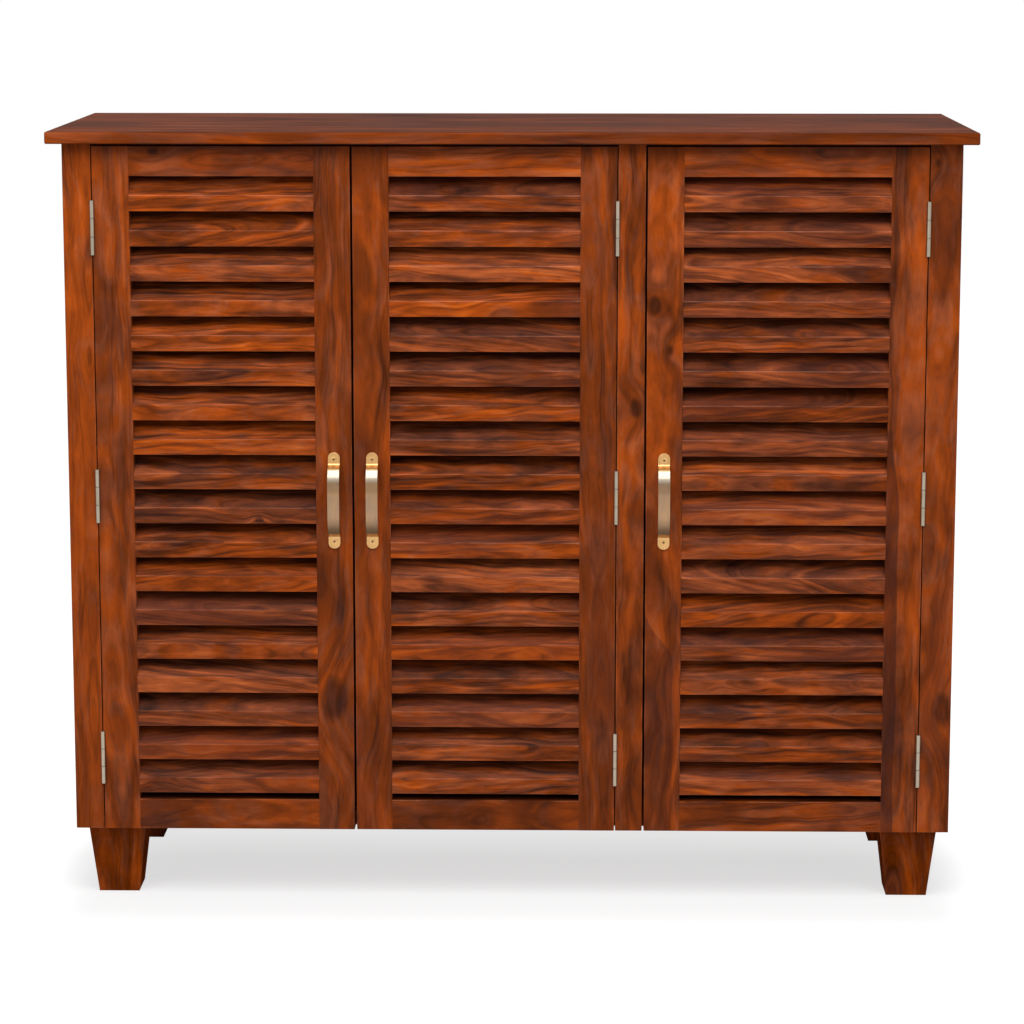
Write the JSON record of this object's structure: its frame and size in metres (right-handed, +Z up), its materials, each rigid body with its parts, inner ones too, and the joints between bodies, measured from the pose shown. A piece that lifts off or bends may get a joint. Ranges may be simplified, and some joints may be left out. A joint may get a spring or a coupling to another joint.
{
  "type": "louvred door cabinet",
  "caption": "Low solid wood cabinet on tapered feet, with inset louvred doors on butt hinges, strap handles and shelves inside.",
  "frame": {"origin": "on the floor, under the middle of the top board", "axes": "+X to the right of someone facing the doors, +Y towards the back, +Z up"},
  "size_m": [1.067, 0.381, 0.914],
  "materials": {
    "wood_top": "satin lacquer over dark sheesham",
    "wood_frame": "satin lacquer over honey sheesham",
    "wood_slats": "satin lacquer over honey sheesham",
    "wood_back": "thin lacquer",
    "satin_brass": "brushed",
    "brass_screw": "satin",
    "satin_nickel": "satin nickel",
    "zinc_steel": "zinc plated",
    "magnet_steel": "plated magnet"
  },
  "bodies": {
    "carcass": {"back_panel": "wood_back", "bottom_board": "wood_frame", "door_magnets": "magnet_steel", "face_stile_centre": "wood_frame", "face_stile_left": "wood_frame", "face_stile_right": "wood_frame", "foot_back_left": "wood_frame", "foot_back_right": "wood_frame", "foot_bolts": "zinc_steel", "foot_front_left": "wood_frame", "foot_front_right": "wood_frame", "frame_leaf_screws": "zinc_steel", "hinge_pins": "satin_nickel", "left_door_frame_leaves": "satin_nickel", "middle_door_frame_leaves": "satin_nickel", "partition": "wood_frame", "right_door_frame_leaves": "satin_nickel", "shelf_cleats_left": "wood_frame", "shelf_cleats_right": "wood_frame", "shelf_left_lower": "wood_frame", "shelf_left_upper": "wood_frame", "shelf_right_lower": "wood_frame", "shelf_right_upper": "wood_frame", "side_panel_left": "wood_frame", "side_panel_right": "wood_frame", "top_back_rail": "wood_frame", "top_front_rail": "wood_frame", "top_panel": "wood_top", "top_screws": "zinc_steel"},
    "left_door": {"left_door_bottom_rail": "wood_frame", "left_door_handle": "satin_brass", "left_door_handle_screws": "brass_screw", "left_door_hinge_leaves": "satin_nickel", "left_door_hinge_screws": "zinc_steel", "left_door_hinge_stile": "wood_frame", "left_door_lock_stile": "wood_frame", "left_door_slats": "wood_slats", "left_door_strike_plate": "zinc_steel", "left_door_top_rail": "wood_frame"},
    "middle_door": {"middle_door_bottom_rail": "wood_frame", "middle_door_handle": "satin_brass", "middle_door_handle_screws": "brass_screw", "middle_door_hinge_leaves": "satin_nickel", "middle_door_hinge_screws": "zinc_steel", "middle_door_hinge_stile": "wood_frame", "middle_door_lock_stile": "wood_frame", "middle_door_slats": "wood_slats", "middle_door_strike_plate": "zinc_steel", "middle_door_top_rail": "wood_frame"},
    "right_door": {"right_door_bottom_rail": "wood_frame", "right_door_handle": "satin_brass", "right_door_handle_screws": "brass_screw", "right_door_hinge_leaves": "satin_nickel", "right_door_hinge_screws": "zinc_steel", "right_door_hinge_stile": "wood_frame", "right_door_lock_stile": "wood_frame", "right_door_slats": "wood_slats", "right_door_strike_plate": "zinc_steel", "right_door_top_rail": "wood_frame"}
  },
  "joints": [
    {"name": "left_door_swing", "type": "hinge", "parent": "carcass", "child": "left_door", "pos_m": [-0.48335, -0.1715, 0.48825], "axis": [0, 0, -1], "range_deg": [0, 110]},
    {"name": "middle_door_swing", "type": "hinge", "parent": "carcass", "child": "middle_door", "pos_m": [0.12235, -0.1715, 0.48825], "axis": [0, 0, 1], "range_deg": [0, 110]},
    {"name": "right_door_swing", "type": "hinge", "parent": "carcass", "child": "right_door", "pos_m": [0.47935, -0.1715, 0.48825], "axis": [0, 0, 1], "range_deg": [0, 110]}
  ]
}
